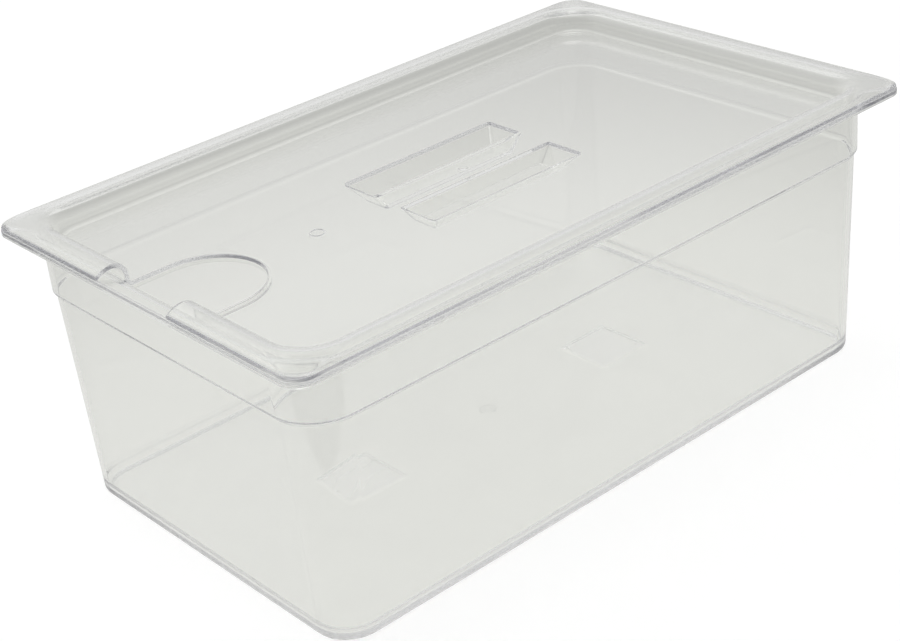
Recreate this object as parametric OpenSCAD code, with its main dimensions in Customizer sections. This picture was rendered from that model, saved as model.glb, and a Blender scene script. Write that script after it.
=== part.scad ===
// Full-size deep food pan with a notched lift-off cover, both moulded in clear polycarbonate.
// Millimetres. The origin is the middle of the pan's underside, +Z is up and +X runs along the
// pan, away from the notched end. Profiles are drawn as inset from the rim edge against height.

/* [Pan] */
// Length over the rim
pan_length = 530; // [400:1:600]
// Width over the rim
pan_width = 325; // [250:1:400]
// Height from the underside to the top of the rim
pan_height = 200; // [120:1:250]
// Wall and floor thickness
wall = 3; // [2:0.5:4]
// Corner radius of the rim edge
rim_corner = 14; // [12:1:24]
// Height of the turned-down lip under the rim edge
lip_drop = 4; // [3.5:0.5:12]
// Thickness of the turned-down lip
lip_wall = 2.5; // [2:0.25:3]
// Inset of the upper wall's outer face from the rim edge
wall_inset = 13.2; // [12:0.2:16]
// Outer corner radius of the upper wall
wall_corner = 33; // [25:1:36]
// Depth of the stacking shoulder below the rim
shoulder_drop = 42; // [30:1:70]
// How far the wall steps in at the shoulder
shoulder_step = 2.2; // [1:0.1:2.5]
// How far the tapered lower wall runs in from shoulder to floor
taper_run = 5; // [3:0.1:8]
// Radius of the outer edge round the floor
floor_round = 5; // [4:0.5:12]
// Side of the two matt square marks sunk in the underside
square_mark = 48; // [30:1:60]
// Distance of the square marks from the middle of the pan
square_offset = 118; // [80:1:140]
// Diameter of the gate dimple in the middle of the underside
dimple_d = 12; // [8:0.5:20]

/* [Cover] */
// Thickness of the cover
cover_wall = 3; // [2.5:0.25:3.25]
// Height of the crown of the cover's rim above the pan's rim
crown_height = 6; // [5.5:0.25:8]
// Inset of the crown from the rim edge
crown_inset = 13; // [12:0.5:13.5]
// Radius of the broad outer slope of the rim
crown_radius = 19; // [17:0.5:30]
// Radius with which the rim turns down into the pan
turn_radius = 11; // [8:0.5:11.5]
// Depth of the cover's flat panel below the pan's rim
panel_drop = 10.2; // [9:0.1:14]
// Clearance under the cover's foot
seat_gap = 0.2; // [0.1:0.1:0.5]

/* [Notch] */
// Width of the ladle notch
notch_width = 76; // [50:0.2:90]
// Reach of the notch from the rim edge
notch_reach = 91.5; // [70:0.5:120]
// Depth of the stiffening edge round the notch
notch_edge = 5.5; // [4:0.5:8]
// Thickness of that edge
notch_edge_wall = 2.5; // [2:0.5:4]

/* [Handle] */
// Length of a finger pocket at the panel
pocket_length = 132.6; // [100:0.2:160]
// Width of a finger pocket at the panel
pocket_width = 32.2; // [26:0.2:40]
// Width of the grip bar between the pockets
grip_width = 28.8; // [20:0.2:40]
// Depth of a finger pocket
pocket_depth = 12.4; // [9:0.2:16]
// How far a pocket's ends slope in
end_slope = 9.7; // [4:0.1:14]
// How far a pocket's outer side slopes in
outer_slope = 11.9; // [4:0.1:13]
// How far a pocket's grip side slopes in
grip_slope = 0.8; // [0.4:0.1:2]
// Wall thickness of a finger pocket
pocket_wall = 2.4; // [1.8:0.2:3]
// Diameter of the gate mark on the grip bar
gate_d = 7; // [4:0.5:10]
// Diameter of the ring mark beside the notch
ring_d = 11; // [8:0.5:14]
// Distance of the ring mark from the end of the notch
ring_offset = 49; // [20:1:60]

/* [Hidden] */
$fn = 96;

half_l = pan_length / 2;
half_w = pan_width / 2;
// Inset of the vertical axes that the wall corners and the cover's rim turn about
axis_in = wall_inset + wall_corner;
// Inset at which the rim edge, with its own corner radius, meets the rest of the rim
edge_in = 5;
// Inset of the pan's inner wall face, and of the inner edge of its rim
inner_in = wall_inset + wall;
lead_in = 4.5;
mouth_in = wall_inset - lead_in;
// Insets of the lower wall's outer face at the shoulder and at the floor
shoulder_in = wall_inset + shoulder_step;
base_in = shoulder_in + taper_run;
step_height = 3;
floor_z = -pan_height;
// How far a cutter runs past the face it cuts, and a raised mark runs into the face under it
over = 1;

// Points of a round corner: centre [inset, height], radius, first and last angle
function arc(c, r, a0, a1, n = 6) = [
    for (i = [0:n])
        let (a = a0 + (a1 - a0) * i / n)
        [c[0] + r * cos(a), c[1] + r * sin(a)]
];

// Carries a profile of [inset, height] points round a rectangle whose corner axes lie axis_inset
// inside the rim edge
module around(profile, axis_inset) {
    outward = [for (p = profile) [axis_inset - p[0], p[1]]];
    for (k = [0:3]) {
        reach = (k % 2 == 0 ? half_l : half_w) - axis_inset;
        run = (k % 2 == 0 ? half_w : half_l) - axis_inset;
        rotate([0, 0, 90 * k])
            translate([reach, run, 0]) {
                rotate([90, 0, 0])
                    linear_extrude(2 * run)
                        polygon(outward);
                rotate_extrude(angle = 90)
                    polygon(outward);
            }
    }
}

// Flat land in each rim corner, between the tight edge radius and the wider radius inside it
module corner_lands(bottom, top) {
    side = axis_in - edge_in;
    edge_r = rim_corner - edge_in;
    for (mx = [0, 1], my = [0, 1])
        mirror([mx, 0, 0])
            mirror([0, my, 0])
                translate([half_l - axis_in, half_w - axis_in, bottom])
                    difference() {
                        union() {
                            cube([side - edge_r, side, top - bottom]);
                            cube([side, side - edge_r, top - bottom]);
                            translate([side - edge_r, side - edge_r, 0])
                                rotate_extrude(angle = 90)
                                    square([edge_r, top - bottom]);
                        }
                        translate([0, 0, -over])
                            cylinder(r = side, h = top - bottom + 2 * over);
                    }
}

// Turned-down outer edge of the pan's rim
module pan_edge() {
    edge_round = 1;
    fillet = min(1.5, 0.8 * (lip_drop - wall));
    around(concat(
        [[0, -lip_drop]],
        arc([edge_round, -edge_round], edge_round, 180, 90),
        [[edge_in, 0], [edge_in, -wall]],
        arc([lip_wall + fillet, -wall - fillet], fillet, 90, 180),
        [[lip_wall, -lip_drop]]
    ), rim_corner);
}

// Rim, wall and floor edge in one section
module pan_wall() {
    outer_r = floor_round;
    inner_r = floor_round - wall;
    taper = (base_in - shoulder_in) / (pan_height - shoulder_drop - step_height);
    foot_in = base_in - taper * floor_round;
    around(concat(
        [[edge_in, 0]],
        arc([mouth_in, -lead_in - wall], lead_in + wall, 90, 0),
        [
            [inner_in, -shoulder_drop],
            [shoulder_in + wall, -shoulder_drop - step_height]
        ],
        arc([foot_in + wall + inner_r, floor_z + wall + inner_r], inner_r, 180, 270),
        [[axis_in, floor_z + wall], [axis_in, floor_z]],
        arc([foot_in + outer_r, floor_z + outer_r], outer_r, 270, 180),
        [
            [shoulder_in, -shoulder_drop - step_height],
            [wall_inset, -shoulder_drop]
        ],
        arc([mouth_in, -lead_in - wall], lead_in, 0, 90),
        [[edge_in, -wall]]
    ), axis_in);
}

// Shallow marks sunk in the underside: two squares, and the gate dimple with its nub
module floor_marks() {
    sunk = 0.4;
    nub_d = 5;
    for (mx = [-1, 1])
        translate([mx * square_offset - square_mark / 2, -square_mark / 2, floor_z - over])
            cube([square_mark, square_mark, over + sunk]);
    translate([0, 0, floor_z - over])
        difference() {
            cylinder(d = dimple_d, h = over + sunk);
            translate([0, 0, over + sunk / 4])
                cylinder(d = nub_d, h = sunk);
        }
}

module pan() {
    color([0.87, 0.89, 0.87, 0.4])
        translate([0, 0, pan_height])
            difference() {
                union() {
                    pan_edge();
                    corner_lands(-wall, 0);
                    pan_wall();
                    translate([axis_in - half_l, axis_in - half_w, floor_z])
                        cube([2 * (half_l - axis_in), 2 * (half_w - axis_in), wall]);
                }
                floor_marks();
            }
}

// Height of the rim's outer slope at an inset, for its top or its underside
function slope(inset, thick = 0) =
    crown_height - crown_radius
    + sqrt(pow(crown_radius - thick, 2) - pow(crown_inset - inset, 2));

// Outer edge of the cover's rim, which stands on the pan's rim
module cover_edge() {
    foot_in = 0.5;
    foot_width = 2.5;
    bevel = 0.8;
    steps = 4;
    around([
        [foot_in, 0],
        [foot_in, slope(foot_in) - bevel],
        for (i = [0:steps])
            let (u = foot_in + bevel + (edge_in - foot_in - bevel) * i / steps)
                [u, slope(u)],
        [edge_in, slope(edge_in, cover_wall)],
        [foot_in + foot_width, 0]
    ], rim_corner);
}

// Crown of the cover's rim, the wall that turns down from it, and the edge of the panel
module cover_rim() {
    crown = [crown_inset, crown_height - crown_radius];
    turn = [crown_inset, crown_height - turn_radius];
    fillet = 2;
    bottom = [crown_inset + turn_radius + fillet, fillet - panel_drop];
    top_start = 90 + asin((crown_inset - edge_in) / crown_radius);
    under_end = 90 + asin((crown_inset - edge_in) / (crown_radius - cover_wall));
    around(concat(
        arc(crown, crown_radius, top_start, 90, 4),
        arc(turn, turn_radius, 90, 0),
        arc(bottom, fillet, 180, 270, 3),
        [[axis_in, -panel_drop], [axis_in, -panel_drop - cover_wall]],
        arc(bottom, fillet + cover_wall, 270, 180, 3),
        arc(turn, turn_radius - cover_wall, 0, 90),
        arc(crown, crown_radius - cover_wall, 90, under_end, 4)
    ), axis_in);
}

// Straight-sided block with sloping ends and sides that fills a finger pocket, or its outside
module pocket(grow = 0) {
    half = pocket_length / 2 + grow;
    near = grip_width / 2 - grow;
    far = grip_width / 2 + pocket_width + grow;
    deep = pocket_depth + grow;
    above = grow > 0 ? 0 : over;
    intersection() {
        rotate([90, 0, 90])
            linear_extrude(2 * half, center = true)
                polygon([
                    [near, above],
                    [near, 0],
                    [near + grip_slope, -deep],
                    [far - outer_slope, -deep],
                    [far, 0],
                    [far, above]
                ]);
        rotate([90, 0, 0])
            linear_extrude(4 * far, center = true)
                polygon([
                    [-half, above],
                    [-half, 0],
                    [end_slope - half, -deep],
                    [half - end_slope, -deep],
                    [half, 0],
                    [half, above]
                ]);
    }
}

// U-shaped ladle notch from the rim edge inwards, widened by grow
module notch(height, grow = 0) {
    r = notch_width / 2;
    centre = notch_reach - r;
    translate([centre - half_l, 0, 0])
        cylinder(r = r + grow, h = height);
    translate([-half_l - over, -r - grow, 0])
        cube([centre + over, notch_width + 2 * grow, height]);
}

// Places a finger pocket on each side of the grip bar, at the panel
module both_sides() {
    translate([0, 0, -panel_drop])
        for (my = [0, 1])
            mirror([0, my, 0])
                children();
}

// Edge that hangs under the panel round the notch
module notch_rib() {
    intersection() {
        translate([0, 0, -panel_drop - notch_edge])
            notch(notch_edge, notch_edge_wall);
        translate([crown_inset + turn_radius - half_l, -half_w, -pan_height])
            cube([pan_length, pan_width, pan_height]);
    }
}

// Gate mark on the grip bar, and a ring mark on the panel beside the notch
module marks() {
    raised = 0.4;
    ring_wall = 1.5;
    translate([0, 0, -panel_drop - over])
        cylinder(d = gate_d, h = over + raised);
    translate([notch_reach + ring_offset - half_l, 0, -panel_drop - over])
        difference() {
            cylinder(d = ring_d, h = over + raised);
            translate([0, 0, over])
                cylinder(d = ring_d - 2 * ring_wall, h = raised + over);
        }
}

module cover() {
    color([0.89, 0.9, 0.88, 0.4])
        translate([0, 0, pan_height + seat_gap])
            difference() {
                union() {
                    cover_edge();
                    corner_lands(slope(edge_in, cover_wall), slope(edge_in));
                    cover_rim();
                    translate([axis_in - half_l, axis_in - half_w, -panel_drop - cover_wall])
                        cube([2 * (half_l - axis_in), 2 * (half_w - axis_in), cover_wall]);
                    both_sides()
                        pocket(pocket_wall);
                    notch_rib();
                    marks();
                }
                translate([0, 0, -pan_height / 2])
                    notch(pan_height);
                both_sides()
                    pocket();
            }
}

pan();
cover();
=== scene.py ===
"""Looks of a clear full-size food pan with a notched lift-off cover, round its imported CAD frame.

Sections are drawn as inset from the rim edge against height over the pan's rim, in metres, and are
carried round a rounded rectangle. Both mouldings are closed meshes with real thickness, so light
bends through them.
"""
import math

import bmesh
import bpy
import numpy as np
from mathutils import Matrix, Vector
from mathutils.geometry import tessellate_polygon


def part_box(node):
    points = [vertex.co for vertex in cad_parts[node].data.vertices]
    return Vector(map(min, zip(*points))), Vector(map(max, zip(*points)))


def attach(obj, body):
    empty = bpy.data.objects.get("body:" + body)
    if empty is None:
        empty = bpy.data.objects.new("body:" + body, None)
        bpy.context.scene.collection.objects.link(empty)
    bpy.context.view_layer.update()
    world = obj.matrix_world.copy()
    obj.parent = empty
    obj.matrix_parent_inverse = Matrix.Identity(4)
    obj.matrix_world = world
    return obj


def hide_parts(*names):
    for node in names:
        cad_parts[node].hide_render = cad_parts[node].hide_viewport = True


MM = 0.001

# ---------------------------------------------------------------- sizes

# Camera: angles in degrees, lens and sensor in mm, the rest in metres from the origin
CAMERA_AZIMUTH = -38.738
CAMERA_ELEVATION = 27.939
CAMERA_ROLL = -5.985
CAMERA_DISTANCE = 1.3524
CAMERA_AIM_RIGHT = -0.0262
CAMERA_AIM_UP = 0.0648
CAMERA_LENS = 75.36
SENSOR_WIDTH = 36.0

# Pan
WALL = 3.0 * MM
RIM_CORNER = 14.0 * MM
LIP_DROP = 4.0 * MM
LIP_WALL = 2.5 * MM
WALL_INSET = 13.2 * MM
WALL_CORNER = 33.0 * MM
SHOULDER_DROP = 42.0 * MM
SHOULDER_STEP = 2.2 * MM
SHOULDER_RISE = 3.0 * MM
TAPER_RUN = 5.0 * MM
LEAD_IN = 4.5 * MM
AXIS_INSET = WALL_INSET + WALL_CORNER

# Rounds of the pan's section
FLOOR_ROUND = 5.0 * MM
FLOOR_FILLET = 9.5 * MM
SHOULDER_ROUND = 0.8 * MM
TAPER_ROUND = 1.2 * MM
LIP_ROUND = 0.4 * MM
LIP_FILLET = 0.5 * MM
RIM_ROUND = 1.0 * MM

# How far short of the corners' axis the pan's section ends, and the insets between which its plan
# corners change from the rim's to the walls'
FLOOR_SHORT = 2.0 * MM
PAN_BLEND = (5.0 * MM, 10.0 * MM)

# Marks sunk into the pan's underside: two squares, whose profile is given as mm inwards and share of
# the depth, and a dimple with a nub in the middle
SUNK = 0.4 * MM
SQUARE_MARK = 48.0 * MM
SQUARE_OFFSET = 118.0 * MM
SQUARE_CORNER = 3.0 * MM
SQUARE_PROFILE = ((0, 0), (1, 0.15), (3, 0.85), (4, 1))
DIMPLE_RADIUS = 6.0 * MM
DIMPLE_SLOPE = 0.2 * MM
NUB_RADIUS = 2.5 * MM

# Cover
COVER_WALL = 3.0 * MM
COVER_EDGE = 0.5 * MM
SEAT_WIDTH = 2.5 * MM
CROWN_HEIGHT = 6.0 * MM
CROWN_INSET = 13.0 * MM
CROWN_RADIUS = 19.0 * MM
TURN_RADIUS = 11.0 * MM
EDGE_SHOULDER = 0.9 * MM
EDGE_DROP = 0.6 * MM
UNDER_CLEAR = 0.4 * MM
PANEL_DROP = 10.2 * MM
PANEL_FILLET = 2.0 * MM
EDGE_ROUND = 1.0 * MM
COVER_BLEND = (COVER_EDGE, CROWN_INSET - 1.0 * MM)

# Notch, and the stiffening edge under its outline
NOTCH_HALF = 38.0 * MM
NOTCH_REACH = 91.5 * MM
NOTCH_EDGE = 5.5 * MM
NOTCH_EDGE_WALL = 2.5 * MM

# Finger pockets, with the grip bar between them
POCKET_HALF = 66.3 * MM
POCKET_NEAR = 14.4 * MM
POCKET_FAR = 46.6 * MM
POCKET_DEPTH = 12.4 * MM
POCKET_WALL = 2.4 * MM
POCKET_CORNER = 2.2 * MM
POCKET_RIM_ROUND = 0.3 * MM
POCKET_FLOOR_ROUND = 0.5 * MM
POCKET_UNDER_ROUND = 0.8 * MM
END_SLOPE = 9.7 * MM
OUTER_SLOPE = 11.9 * MM
GRIP_SLOPE = 0.8 * MM
# Ends of the line that a pocket's section is rounded from, well past both its corners
POCKET_LEADS = (12.0 * MM, 40.0 * MM)

# Marks raised on the panel, as radius and height in mm: a low dome on the grip bar, and a ring by the
# notch
GATE_PROFILE = ((3.5, 0), (3.2, 0.2), (2.6, 0.32), (1.8, 0.38), (0.9, 0.4))
RING_PROFILE = ((5.5, 0), (5.2, 0.3), (4.8, 0.4), (4.4, 0.3), (4.1, 0))
RING_MARK_OFFSET = 49.0 * MM

# Flat rows outside and inside a mark
GUARD_OUT = 0.5 * MM
GUARD_IN = 0.3 * MM

# Mesh: steps along each kind of line, clean-up distances, and the angle of a sharp edge in degrees
RUN_STEPS = {"end_half": 5, "side": 14, "end": 9}
CORNER_STEPS = 20
ROUND_STEPS = 6
SMALL_STEPS = 5
MARK_STEPS = 7
CROWN_STEPS = 14
TURN_STEPS = 18
FILLET_STEPS = 8
NOTCH_STEPS = 36
NOTCH_RUN_STEPS = 6
EDGE_STEPS = 4
RIB_STEPS = 9
POCKET_STEPS = 6
MERGE = 0.002 * MM
SLIVER = 0.001 * MM
SHARP_ANGLE = 34

# ---------------------------------------------------------------- looks

# Polycarbonate
PLASTIC_TINT = (0.98, 0.983, 0.972)
PLASTIC_INDEX = 1.585
DEPTH_COLOUR = (0.76, 0.76, 0.80)
DEPTH_DENSITY = 4.0
CLEAR = (1, 1, 1)

# Smears: the noise, the part of its range that counts, and the roughness there
SMEAR_SCALE = 14.0
SMEAR_DETAIL = 5.0
SMEAR_DISTORTION = 1.2
SMEAR_RANGE = (0.35, 0.8)
SMEAR_ROUGHNESS = (0.012, 0.055)

# Waviness of the polish
WAVE_SCALE = 38.0
WAVE_DETAIL = 1.0
WAVE_STRENGTH = 0.03
WAVE_HEIGHT = 0.02 * MM

# Wear: what it adds to the roughness, and where it starts and ends. The rim's is measured from its
# edge, the crown's over the pan's rim, and the foot's and the square marks' over the table.
RIM_DULL = 0.18
RIM_WEAR = 2.2 * MM
RIM_FADE = 1.0 * MM
CROWN_DULL = 0.1
CROWN_WEAR = (1.0 * MM, 3.0 * MM)
FOOT_DULL = 0.2
FOOT_WEAR = (2 * WALL, 4 * WALL)
MARK_DULL = 0.05
MARK_FADE = WALL
MARK_WEAR = (0.3 * WALL, 0.6 * WALL)

# Air left between the pan and what it stands on
AIR_GAP = 0.3 * MM

# Studio floor. To the camera it is backdrop, and through or in the plastic it is paper.
FLOOR_SIDE = 12.0
FLOOR_ROUGHNESS = 0.9
BACKDROP_TONE = 0.5
BACKDROP_GLOW = 0.6
PAPER_TONE = (0.905, 0.907, 0.88)
PAPER_GLOW = 0.605
PAPER_SHADE = 0.3

# Painted reflection of a dark room: a line across the paper, in metres from the origin towards the
# camera, and half the width of its blur. Where the plastic mirrors the paper, the paper is painted
# darker
# beyond that line: by the first share where it is seen through few faces, and by the second through
# many.
PAINTED_REFLECTION_LINE = 0.427
PAINTED_REFLECTION_BLUR = 0.006
FACES_CROSSED = (2.4, 3.4)
PAINTED_REFLECTION_SHARES = (0.5, 0.75)

# Painted light falloff: the paper is painted darker between two distances from the origin, as if less
# light reached it further out; its tone from there on, and how much of that painted falloff a mirrored
# view leaves out
PAINTED_FALLOFF_RUN = (0.22, 0.80)
PAINTED_FALLOFF_TONE = 0.66
PAINTED_FALLOFF_LEFT_OUT = 0.6

# Dome: strength at the horizon and high up, and the sine of the elevation where it stops rising
DOME_STRENGTH = (0.44, 0.47)
DOME_TOP = 0.9
# Soft boxes: azimuth and elevation in degrees, half-angles of the core and the edge, strength
SOFT_BOXES = ((180, 54, 40, 80, 0.36), (185, 48, 12, 32, 0.3), (0, 90, 10, 20, 1.3))

# Light bounces
PLASTIC_BOUNCES = 160
TRANSPARENT_BOUNCES = 32
DIFFUSE_BOUNCES = 8


# ---------------------------------------------------------------- outlines

def arc(centre, radius, first, last, steps):
    """Points on an arc in a section, from first to last angle in degrees."""
    angles = np.radians(np.linspace(first, last, steps + 1))
    return [(centre[0] + radius * math.cos(a), centre[1] + radius * math.sin(a)) for a in angles]


def rounded(corners, steps=ROUND_STEPS):
    """A polyline with each corner (x, y, radius) turned into an arc tangent to both its sides."""
    points = []
    for i, (x, y, radius) in enumerate(corners):
        here = np.array([x, y])
        if radius == 0 or i in (0, len(corners) - 1):
            points.append((x, y))
            continue
        before = np.array(corners[i - 1][:2]) - here
        after = np.array(corners[i + 1][:2]) - here
        before /= np.linalg.norm(before)
        after /= np.linalg.norm(after)
        half = math.acos(np.clip(before @ after, -1, 1)) / 2
        bisector = (before + after) / np.linalg.norm(before + after)
        centre = here + bisector * radius / math.sin(half)
        start = here + before * radius / math.tan(half) - centre
        end = here + after * radius / math.tan(half) - centre
        turn = math.atan2(start[0] * end[1] - start[1] * end[0], start @ end)
        for k in range(steps + 1):
            c = math.cos(turn * k / steps)
            s = math.sin(turn * k / steps)
            points.append((
                centre[0] + c * start[0] - s * start[1],
                centre[1] + s * start[0] + c * start[1],
            ))
    return points


def run(start, end, steps):
    """Points from start towards end, without end."""
    way = np.array(end) - np.array(start)
    return [tuple(np.array(start) + way * i / steps) for i in range(steps)]


def outline(half_l, half_w, inset, corner, cut=0.0):
    """Plan points of a rounded rectangle, round from the middle of its -X end by the -Y side.

    With a cut, it starts and ends that far either side of the middle, and its last point is kept.
    """
    hx, hy = half_l - inset, half_w - inset
    cx, cy = hx - corner, hy - corner
    points = run((-hx, -cut), (-hx, -cy), RUN_STEPS["end_half"])
    for centre, first, following, part in (
        ((-cx, -cy), 180, (cx, -hy), "side"),
        ((cx, -cy), 270, (hx, cy), "end"),
        ((cx, cy), 0, (-cx, hy), "side"),
        ((-cx, cy), 90, (-hx, cut), "end_half"),
    ):
        bend = arc(centre, corner, first, first + 90, CORNER_STEPS)
        points += bend[:-1]
        points += run(bend[-1], following, RUN_STEPS[part])
    if cut:
        points.append((-hx, cut))
    return points


def smoothstep(t):
    t = min(max(t, 0.0), 1.0)
    return t * t * (3 - 2 * t)


def corner_radius(inset, blend):
    """Corner radius at an inset: concentric with the rim edge before the blend, with the walls after."""
    tight, wide = blend
    extra = AXIS_INSET - RIM_CORNER
    return AXIS_INSET - inset - extra * (1 - smoothstep((inset - tight) / (wide - tight)))


# ---------------------------------------------------------------- mesh

class Skin:
    """Collects rows of points and the faces between them."""

    def __init__(self):
        self.points = []
        self.faces = []

    def row(self, points):
        """Adds points and gives their numbers."""
        first = len(self.points)
        self.points += [tuple(p) for p in points]
        return list(range(first, len(self.points)))

    def band(self, a, b, closed):
        """Faces between two rows of as many points."""
        n = len(a)
        for i in range(n if closed else n - 1):
            j = (i + 1) % n
            self.faces.append((a[i], a[j], b[j], b[i]))

    def bands(self, rows, closed):
        for a, b in zip(rows, rows[1:]):
            self.band(a, b, closed)

    def fill(self, loops):
        """Fills a flat region: the first loop is its outside, the others are holes."""
        flat = [i for loop in loops for i in loop]
        shape = [[Vector((*self.points[i][:2], 0)) for i in loop] for loop in loops]
        for triangle in tessellate_polygon(shape):
            self.faces.append(tuple(flat[k] for k in triangle))

    def make(self, name):
        """The finished object, smooth but for its sharp edges."""
        mesh = bpy.data.meshes.new(name)
        mesh.from_pydata(self.points, [], self.faces)
        bm = bmesh.new()
        bm.from_mesh(mesh)
        bmesh.ops.remove_doubles(bm, verts=bm.verts, dist=MERGE)
        bmesh.ops.dissolve_degenerate(bm, dist=SLIVER, edges=bm.edges)
        bmesh.ops.recalc_face_normals(bm, faces=bm.faces)
        for face in bm.faces:
            face.smooth = True
        bm.to_mesh(mesh)
        bm.free()
        mesh.set_sharp_from_angle(angle=math.radians(SHARP_ANGLE))
        obj = bpy.data.objects.new(name, mesh)
        bpy.context.scene.collection.objects.link(obj)
        weighted = obj.modifiers.new("weighted normals", "WEIGHTED_NORMAL")
        weighted.keep_sharp = True
        return obj


def mark_rows(skin, x, profile, z0, corner=None):
    """A small mark on a flat face at (x, 0), as rows of (half-width, height) from its edge inwards.

    It is round, or square with its corners rounded to the radius given. A flat row at each end keeps
    the shading of the wide faces beside it flat.
    """
    rows = []
    flat_out = (profile[0][0] + GUARD_OUT, profile[0][1])
    flat_in = (profile[-1][0] - GUARD_IN, profile[-1][1])
    # The quarters of a round mark share their end points
    first_kept = 1 if corner is None else 0
    for half, z in [flat_out, *profile, flat_in]:
        radius = corner or half
        points = []
        for k, (sx, sy) in enumerate(((1, 1), (-1, 1), (-1, -1), (1, -1))):
            centre = (sx * (half - radius), sy * (half - radius))
            points += arc(centre, radius, 90 * k, 90 * k + 90, MARK_STEPS)[first_kept:]
        rows.append(skin.row([(x + p[0], p[1], z0 + z) for p in points]))
    skin.bands(rows, True)
    skin.fill([rows[-1]])
    return rows[0]


# ---------------------------------------------------------------- pan

def pan_section(rim_z):
    """The pan's wall in section, from the underside of the floor round the rim to its inner face."""
    inner = WALL_INSET + WALL
    shoulder = WALL_INSET + SHOULDER_STEP
    base = shoulder + TAPER_RUN
    ledge = -SHOULDER_DROP - SHOULDER_RISE
    return rounded([
        (AXIS_INSET - FLOOR_SHORT, -rim_z, 0),
        (base, -rim_z, FLOOR_ROUND),
        (shoulder, ledge, TAPER_ROUND),
        (WALL_INSET, -SHOULDER_DROP, SHOULDER_ROUND),
        (WALL_INSET, -WALL, LEAD_IN),
        (LIP_WALL, -WALL, LIP_FILLET),
        (LIP_WALL, -LIP_DROP, LIP_ROUND),
        (0, -LIP_DROP, LIP_ROUND),
        (0, 0, RIM_ROUND),
        (inner, 0, LEAD_IN + WALL),
        (inner, -SHOULDER_DROP, SHOULDER_ROUND),
        (shoulder + WALL, ledge, TAPER_ROUND),
        (base + WALL, WALL - rim_z, FLOOR_FILLET),
        (AXIS_INSET - FLOOR_SHORT, WALL - rim_z, 0),
    ])


def build_pan(half_l, half_w, rim_z):
    skin = Skin()
    rows = []
    for inset, height in pan_section(rim_z):
        plan = outline(half_l, half_w, inset, corner_radius(inset, PAN_BLEND))
        rows.append(skin.row([(x, y, rim_z + height) for x, y in plan]))
    skin.bands(rows, True)

    square = [(SQUARE_MARK / 2 - inwards * MM, share * SUNK) for inwards, share in SQUARE_PROFILE]
    dimple = [
        (DIMPLE_RADIUS, 0),
        (DIMPLE_RADIUS - DIMPLE_SLOPE, SUNK),
        (NUB_RADIUS + DIMPLE_SLOPE, SUNK),
        (NUB_RADIUS, SUNK / 4),
    ]
    holes = [mark_rows(skin, side * SQUARE_OFFSET, square, 0, SQUARE_CORNER) for side in (-1, 1)]
    holes.append(mark_rows(skin, 0, dimple, 0))
    skin.fill([rows[0]] + holes)
    skin.fill([rows[-1]])
    return skin.make("pan_moulding")


# ---------------------------------------------------------------- cover

def cover_sections():
    """Outer and inner curves of the cover's rim, point for point, from its foot to the panel."""
    crown = (CROWN_INSET, CROWN_HEIGHT - CROWN_RADIUS)
    turn = (CROWN_INSET, CROWN_HEIGHT - TURN_RADIUS)
    bottom = (CROWN_INSET + TURN_RADIUS + PANEL_FILLET, PANEL_FILLET - PANEL_DROP)
    under_radius = CROWN_RADIUS - COVER_WALL

    start = 90 + math.degrees(math.asin((CROWN_INSET - COVER_EDGE - EDGE_SHOULDER) / CROWN_RADIUS))
    slope_start = arc(crown, CROWN_RADIUS, start, 90, 1)[0]
    foot = rounded([
        (COVER_EDGE, 0, 0),
        (COVER_EDGE, slope_start[1] - EDGE_DROP, EDGE_SHOULDER),
        (*slope_start, 0),
    ], SMALL_STEPS)[:-1]
    outer = foot + arc(crown, CROWN_RADIUS, start, 90, CROWN_STEPS)[:-1]
    outer += arc(turn, TURN_RADIUS, 90, 0, TURN_STEPS)
    outer += arc(bottom, PANEL_FILLET, 180, 270, FILLET_STEPS)

    under_rise = CROWN_RADIUS - CROWN_HEIGHT + UNDER_CLEAR
    under_start = 90 + math.degrees(math.acos(under_rise / under_radius))
    under_slope_start = arc(crown, under_radius, under_start, 90, 1)[0]
    inner = run((COVER_EDGE + SEAT_WIDTH, 0), under_slope_start, len(foot))
    inner += arc(crown, under_radius, under_start, 90, CROWN_STEPS)[:-1]
    inner += arc(turn, TURN_RADIUS - COVER_WALL, 90, 0, TURN_STEPS)
    inner += arc(bottom, PANEL_FILLET + COVER_WALL, 180, 270, FILLET_STEPS)
    return outer, inner


def pocket_wall(line, slope, top, floor, top_round, floor_round):
    """Section of a pocket's wall, as (distance inwards, height). At the panel's top it meets line."""
    def at(z):
        return line + slope * -z / POCKET_DEPTH

    return rounded([
        (line - POCKET_LEADS[0], top, 0),
        (at(top), top, top_round),
        (at(floor), floor, floor_round),
        (line + POCKET_LEADS[1], floor, 0),
    ], SMALL_STEPS)[1:-1]


def pocket_rows(skin, side, grow, top, floor, floor_round, panel_z):
    """Rows of a finger pocket from its opening, at height top, to its floor.

    Both heights are measured from the panel's top. A pocket's underside is grown by the wall.
    """
    heights = (top, floor, POCKET_RIM_ROUND, floor_round)
    ends = pocket_wall(-grow, END_SLOPE, *heights)
    outer = pocket_wall(-grow, OUTER_SLOPE, *heights)
    grip = pocket_wall(-grow, GRIP_SLOPE, *heights)
    rows = []
    for (end_in, end_z), (outer_in, outer_z), (grip_in, grip_z) in zip(ends, outer, grip):
        x = POCKET_HALF - end_in - POCKET_CORNER
        near = POCKET_NEAR + grip_in + POCKET_CORNER
        far = POCKET_FAR - outer_in - POCKET_CORNER
        points = []
        for centre, first, z_first, z_last in (
            ((x, far), 0, end_z, outer_z),
            ((-x, far), 90, outer_z, end_z),
            ((-x, near), 180, end_z, grip_z),
            ((x, near), 270, grip_z, end_z),
        ):
            for i, p in enumerate(arc(centre, POCKET_CORNER, first, first + 90, POCKET_STEPS)):
                z = z_first + (z_last - z_first) * smoothstep(i / POCKET_STEPS)
                points.append((p[0], side * p[1], panel_z + z))
        rows.append(skin.row(points))
    skin.bands(rows, True)
    skin.fill([rows[-1]])
    return rows[0]


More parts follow.
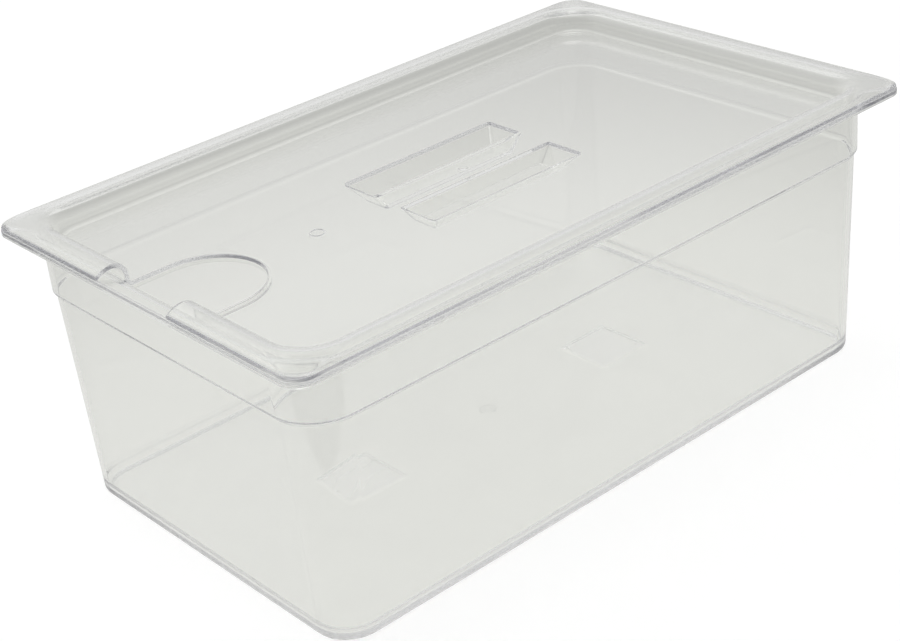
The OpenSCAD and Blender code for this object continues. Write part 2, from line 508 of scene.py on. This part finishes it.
def notch_track(outer, inner, half_l, seat_z):
    """Places along the notch's outline, from its cut in the rim at -Y round to the one at +Y.

    Each is a point on the top, the point under it, the way into the notch, and the share of the
    stiffening edge's depth that is reached there.
    """
    panel_z = seat_z - PANEL_DROP
    centre_x = NOTCH_REACH - NOTCH_HALF - half_l
    inward = Vector((0, 1, 0))
    drop = Vector((0, 0, -COVER_WALL))
    track = []
    for i, (p, q) in enumerate(zip(outer, inner)):
        rib = smoothstep((i - (len(outer) - RIB_STEPS - 1)) / RIB_STEPS)
        top = Vector((p[0] - half_l, -NOTCH_HALF, seat_z + p[1]))
        under = Vector((q[0] - half_l, -NOTCH_HALF, seat_z + q[1]))
        track.append((top, under, inward, rib))
    for x, _ in run((outer[-1][0] - half_l, 0), (centre_x, 0), NOTCH_RUN_STEPS)[1:]:
        top = Vector((x, -NOTCH_HALF, panel_z))
        track.append((top, top + drop, inward, 1.0))
    straight = list(track)
    for x, y in arc((centre_x, 0), NOTCH_HALF, -90, 90, NOTCH_STEPS):
        top = Vector((x, y, panel_z))
        track.append((top, top + drop, Vector((centre_x - x, -y, 0)).normalized(), 1.0))
    for top, under, inward, rib in reversed(straight):
        mirrored = (Vector((p.x, -p.y, p.z)) for p in (top, under, inward))
        track.append((*mirrored, rib))
    return track


def notch_edge(top, under, inward, rib):
    """Points of the notch's edge at one place, round its face to the foot of the stiffening edge."""
    through = under - top
    thick = through.length
    through.normalize()
    deep = thick + rib * (NOTCH_EDGE - COVER_WALL)
    r = EDGE_ROUND
    quarter = np.linspace(0, math.pi / 2, EDGE_STEPS + 1)
    shape = [(-r + r * math.sin(a), r - r * math.cos(a)) for a in quarter]
    shape += [(-r + r * math.cos(a), deep - r + r * math.sin(a)) for a in quarter]
    shape += [(-NOTCH_EDGE_WALL, deep), (-NOTCH_EDGE_WALL, thick)]
    return [top + inward * aside + through * down for aside, down in shape]


def build_cover(half_l, half_w, seat_z):
    skin = Skin()
    panel_z = seat_z - PANEL_DROP

    def rim_rows(section, gap):
        rows = []
        for inset, height in section:
            plan = outline(half_l, half_w, inset, corner_radius(inset, COVER_BLEND), gap)
            rows.append(skin.row([(x, y, seat_z + height) for x, y in plan]))
        skin.bands(rows, False)
        return rows

    outer, inner = cover_sections()
    top = rim_rows(outer, NOTCH_HALF + EDGE_ROUND)
    under = rim_rows(inner, NOTCH_HALF + NOTCH_EDGE_WALL)
    skin.band(top[0], under[0], False)

    edge = [skin.row(notch_edge(*place)) for place in notch_track(outer, inner, half_l, seat_z)]
    skin.bands(edge, False)
    skin.faces.append(tuple(edge[0]))
    skin.faces.append(tuple(edge[-1]))

    # Panel, top and underside, each bounded by the rim and the notch
    in_panel = edge[len(outer):-len(outer)]
    under_floor = -POCKET_DEPTH - POCKET_WALL
    holes_top = []
    holes_under = []
    for side in (1, -1):
        holes_top.append(pocket_rows(skin, side, 0, 0, -POCKET_DEPTH, POCKET_FLOOR_ROUND, panel_z))
        holes_under.append(pocket_rows(
            skin, side, POCKET_WALL, -COVER_WALL, under_floor, POCKET_UNDER_ROUND, panel_z))
    for x, profile in ((0, GATE_PROFILE), (NOTCH_REACH + RING_MARK_OFFSET - half_l, RING_PROFILE)):
        in_metres = [(radius * MM, z * MM) for radius, z in profile]
        holes_top.append(mark_rows(skin, x, in_metres, panel_z))
    skin.fill([top[-1] + [column[0] for column in reversed(in_panel)]] + holes_top)
    skin.fill([under[-1] + [column[-1] for column in reversed(in_panel)]] + holes_under)
    return skin.make("cover_moulding")


# ---------------------------------------------------------------- materials

class Graph:
    """A node tree. An input of a new node is a number, a colour or another node's output."""

    def __init__(self, tree):
        self.tree = tree

    def feed(self, socket, value):
        if isinstance(value, bpy.types.NodeSocket):
            self.tree.links.new(value, socket)
        else:
            socket.default_value = value

    def add(self, kind, inputs=None, **settings):
        node = self.tree.nodes.new("ShaderNode" + kind)
        for setting, value in settings.items():
            setattr(node, setting, value)
        for key, value in (inputs or {}).items():
            self.feed(node.inputs[key], value)
        return node

    def calc(self, operation, a, b=0.0):
        """One step of arithmetic."""
        return self.add("Math", {0: a, 1: b}, operation=operation).outputs["Value"]

    def vector_calc(self, operation, vectors):
        node = self.add("VectorMath", dict(enumerate(vectors)), operation=operation)
        return node.outputs["Value"]

    def ramp(self, value, ends, tones, smooth="SMOOTHSTEP"):
        """The first tone up to the first end, the second from the second end on."""
        inputs = {
            "Value": value,
            "From Min": ends[0],
            "From Max": ends[1],
            "To Min": tones[0],
            "To Max": tones[1],
        }
        return self.add("MapRange", inputs, interpolation_type=smooth).outputs["Result"]

    def mix(self, blend, factor, a, b):
        inputs = {"Factor": factor, "A": a, "B": b}
        return self.add("Mix", inputs, data_type="RGBA", blend_type=blend).outputs["Result"]

    def noise(self, place, scale, detail, distortion=0.0):
        inputs = {"Vector": place, "Scale": scale, "Detail": detail, "Distortion": distortion}
        return self.add("TexNoise", inputs).outputs["Fac"]


def direction(azimuth, elevation):
    """The way from the origin to a viewer or a light. Azimuth 0 is -Y, and 90 is +X."""
    a = math.radians(azimuth)
    e = math.radians(elevation)
    return (math.sin(a) * math.cos(e), -math.cos(a) * math.cos(e), math.sin(e))


def empty_material(name):
    material = bpy.data.materials.new(name)
    material.use_nodes = True
    material.node_tree.nodes.clear()
    return material, Graph(material.node_tree)


def in_square_marks(graph, along, across, height):
    """One on the two square marks, fading to zero round them and over them."""
    half = SQUARE_MARK / 2
    past_middle = graph.calc("ABSOLUTE", graph.calc("SUBTRACT", along, SQUARE_OFFSET))
    inside = graph.ramp(across, (half - MARK_FADE, half), (1.0, 0.0))
    for value, ends in ((past_middle, (half - MARK_FADE, half)), (height, MARK_WEAR)):
        inside = graph.calc("MULTIPLY", inside, graph.ramp(value, ends, (1.0, 0.0)))
    return inside


def polycarbonate(name, seed, rim, is_pan=False):
    """Clear polycarbonate: polished, faintly wavy and hazed by wiped smears.

    The rim's edge and the crown are dulled by handling. The pan's foot and floor are dulled by use too,
    and it has two matt square marks.
    """
    material, graph = empty_material(name)
    shader = graph.add("BsdfPrincipled", {
        "Base Color": (*PLASTIC_TINT, 1),
        "Transmission Weight": 1.0,
        "IOR": PLASTIC_INDEX,
    })
    volume = graph.add("VolumeAbsorption", {"Color": (*DEPTH_COLOUR, 1), "Density": DEPTH_DENSITY})
    graph.add("OutputMaterial", {
        "Surface": shader.outputs["BSDF"],
        "Volume": volume.outputs["Volume"],
    })

    place = graph.add("TexCoord").outputs["Object"]
    split = graph.add("SeparateXYZ", {"Vector": place}).outputs
    along = graph.calc("ABSOLUTE", split["X"])
    across = graph.calc("ABSOLUTE", split["Y"])

    smears = graph.noise(place, SMEAR_SCALE + seed, SMEAR_DETAIL, SMEAR_DISTORTION)
    haze = graph.ramp(smears, SMEAR_RANGE, SMEAR_ROUGHNESS, "LINEAR")
    worn = []
    for value, reach in ((along, rim.x), (across, rim.y)):
        ends = (reach - RIM_WEAR - RIM_FADE, reach - RIM_WEAR)
        worn.append(graph.ramp(value, ends, (0.0, RIM_DULL)))
    rough = graph.calc("ADD", graph.calc("MAXIMUM", *worn), haze)
    crown_ends = (rim.z + CROWN_WEAR[0], rim.z + CROWN_WEAR[1])
    rough = graph.calc("ADD", rough, graph.ramp(split["Z"], crown_ends, (0.0, CROWN_DULL)))
    if is_pan:
        rough = graph.calc("ADD", rough, graph.ramp(split["Z"], FOOT_WEAR, (FOOT_DULL, 0.0)))
        inside = in_square_marks(graph, along, across, split["Z"])
        rough = graph.calc("ADD", rough, graph.calc("MULTIPLY", inside, MARK_DULL))
        colour = graph.mix("MIX", inside, (*PLASTIC_TINT, 1), (*CLEAR, 1))
        graph.feed(shader.inputs["Base Color"], colour)
    graph.feed(shader.inputs["Roughness"], rough)

    bump = graph.add("Bump", {
        "Strength": WAVE_STRENGTH,
        "Distance": WAVE_HEIGHT,
        "Height": graph.noise(place, WAVE_SCALE, WAVE_DETAIL),
    })
    graph.feed(shader.inputs["Normal"], bump.outputs["Normal"])
    return material


def floor_tone(graph, path):
    """How light the paper is, with a painted light falloff and a painted reflection of a dark room past
    a line in front of the pan.
    """
    place = graph.add("TexCoord").outputs["Object"]
    mirrored = graph.calc("MINIMUM", path["Glossy Depth"], 1.0)

    # Painted reflection: past the line, the paper is painted darker where the plastic mirrors it, in
    # place of a dark room.
    forward = graph.vector_calc("DOT_PRODUCT", (place, direction(CAMERA_AZIMUTH, 0)))
    beyond = graph.ramp(forward, (PAINTED_REFLECTION_LINE - PAINTED_REFLECTION_BLUR, PAINTED_REFLECTION_LINE + PAINTED_REFLECTION_BLUR), (0.0, 1.0))
    share = graph.ramp(path["Transmission Depth"], FACES_CROSSED, PAINTED_REFLECTION_SHARES)
    dark = graph.calc("MULTIPLY", graph.calc("MULTIPLY", beyond, mirrored), share)
    lit = graph.calc("SUBTRACT", 1.0, dark)

    # Painted light falloff: darker with distance from the origin, less so where the plastic mirrors it.
    painted_falloff = graph.ramp(graph.vector_calc("LENGTH", (place,)), PAINTED_FALLOFF_RUN, (1.0, PAINTED_FALLOFF_TONE))
    left_out = graph.calc("MULTIPLY", graph.calc("SUBTRACT", 1.0, painted_falloff), PAINTED_FALLOFF_LEFT_OUT)
    painted_falloff = graph.calc("ADD", painted_falloff, graph.calc("MULTIPLY", left_out, mirrored))
    return graph.calc("MULTIPLY", lit, painted_falloff)


def floor_material():
    """Studio paper, with painted light on it.

    Seen directly it is burnt out to white. Through the plastic it is a pale warm grey with a painted
    light falloff that darkens it with distance. Where the plastic mirrors it, it is painted darker
    beyond a line in front of the pan, a painted reflection of a dark room.
    """
    material, graph = empty_material("studio floor")
    path = graph.add("LightPath").outputs
    paper = graph.mix("MULTIPLY", 1.0, (*PAPER_TONE, 1), floor_tone(graph, path))
    seen_through = graph.add("BsdfPrincipled", {
        "Base Color": graph.mix("MULTIPLY", 1.0, paper, (PAPER_SHADE, PAPER_SHADE, PAPER_SHADE, 1)),
        "Roughness": FLOOR_ROUGHNESS,
        "Emission Color": paper,
        "Emission Strength": PAPER_GLOW,
    })
    seen = graph.add("BsdfPrincipled", {
        "Base Color": (BACKDROP_TONE, BACKDROP_TONE, BACKDROP_TONE, 1),
        "Roughness": FLOOR_ROUGHNESS,
        "Emission Color": (1, 1, 1, 1),
        "Emission Strength": BACKDROP_GLOW,
    })
    pick = graph.add("MixShader", {
        "Fac": path["Is Camera Ray"],
        1: seen_through.outputs["BSDF"],
        2: seen.outputs["BSDF"],
    })
    graph.add("OutputMaterial", {"Surface": pick.outputs["Shader"]})
    return material


# ---------------------------------------------------------------- studio

def build_floor():
    bpy.ops.mesh.primitive_plane_add(size=FLOOR_SIDE, location=(0, 0, -AIR_GAP))
    floor = bpy.context.object
    floor.name = "studio_floor"
    floor.data.materials.append(floor_material())
    return floor


def build_world():
    """A soft dome, a little darker low down, with soft boxes in it."""
    world = bpy.data.worlds.new("studio")
    bpy.context.scene.world = world
    world.use_nodes = True
    graph = Graph(world.node_tree)
    place = graph.add("TexCoord").outputs["Generated"]
    height = graph.add("SeparateXYZ", {"Vector": place}).outputs["Z"]
    total = graph.ramp(height, (0.0, DOME_TOP), DOME_STRENGTH)
    for azimuth, elevation, core, edge, strength in SOFT_BOXES:
        facing = graph.vector_calc("DOT_PRODUCT", (place, direction(azimuth, elevation)))
        ends = (math.cos(math.radians(edge)), math.cos(math.radians(core)))
        total = graph.calc("ADD", total, graph.ramp(facing, ends, (0.0, strength)))
    background = world.node_tree.nodes["Background"]
    graph.feed(background.inputs["Strength"], total)
    background.inputs["Color"].default_value = (1, 1, 1, 1)


def build_camera():
    roll = math.radians(CAMERA_ROLL)
    back = Vector(direction(CAMERA_AZIMUTH, CAMERA_ELEVATION))
    level = Vector((0, 0, 1)).cross(back).normalized()
    upright = back.cross(level)
    right = level * math.cos(roll) + upright * math.sin(roll)
    up = upright * math.cos(roll) - level * math.sin(roll)
    place = back * CAMERA_DISTANCE + right * CAMERA_AIM_RIGHT + up * CAMERA_AIM_UP
    data = bpy.data.cameras.new("camera")
    data.lens = CAMERA_LENS
    data.sensor_width = SENSOR_WIDTH
    camera = bpy.data.objects.new("camera", data)
    turn = Matrix((right, up, back)).transposed().to_4x4()
    camera.matrix_world = Matrix.Translation(place) @ turn
    bpy.context.scene.collection.objects.link(camera)
    bpy.context.scene.camera = camera


def set_light_paths():
    """Enough bounces for light that is trapped in a wall to find its way out."""
    cycles = bpy.context.scene.cycles
    cycles.max_bounces = PLASTIC_BOUNCES
    cycles.transmission_bounces = PLASTIC_BOUNCES
    cycles.glossy_bounces = PLASTIC_BOUNCES
    cycles.transparent_max_bounces = TRANSPARENT_BOUNCES
    cycles.diffuse_bounces = DIFFUSE_BOUNCES
    cycles.blur_glossy = 0.0
    bpy.context.scene.view_settings.view_transform = "Standard"


# ---------------------------------------------------------------- scene

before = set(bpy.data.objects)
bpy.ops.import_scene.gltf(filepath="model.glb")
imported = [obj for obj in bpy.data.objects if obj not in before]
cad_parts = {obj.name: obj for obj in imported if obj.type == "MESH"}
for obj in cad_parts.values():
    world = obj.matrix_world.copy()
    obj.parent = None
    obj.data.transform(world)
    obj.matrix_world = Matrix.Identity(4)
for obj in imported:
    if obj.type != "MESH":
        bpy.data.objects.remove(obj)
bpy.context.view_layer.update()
_, pan_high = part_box("pan")
_, cover_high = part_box("cover")
build_camera()
build_world()
set_light_paths()

pan = build_pan(pan_high.x, pan_high.y, pan_high.z)
pan.data.materials.append(polycarbonate("pan polycarbonate", 0, pan_high, True))
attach(pan, "pan")
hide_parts("pan")

cover = build_cover(pan_high.x, pan_high.y, cover_high.z - CROWN_HEIGHT)
cover.data.materials.append(polycarbonate("cover polycarbonate", 3, pan_high))
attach(cover, "cover")
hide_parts("cover")

floor = build_floor()
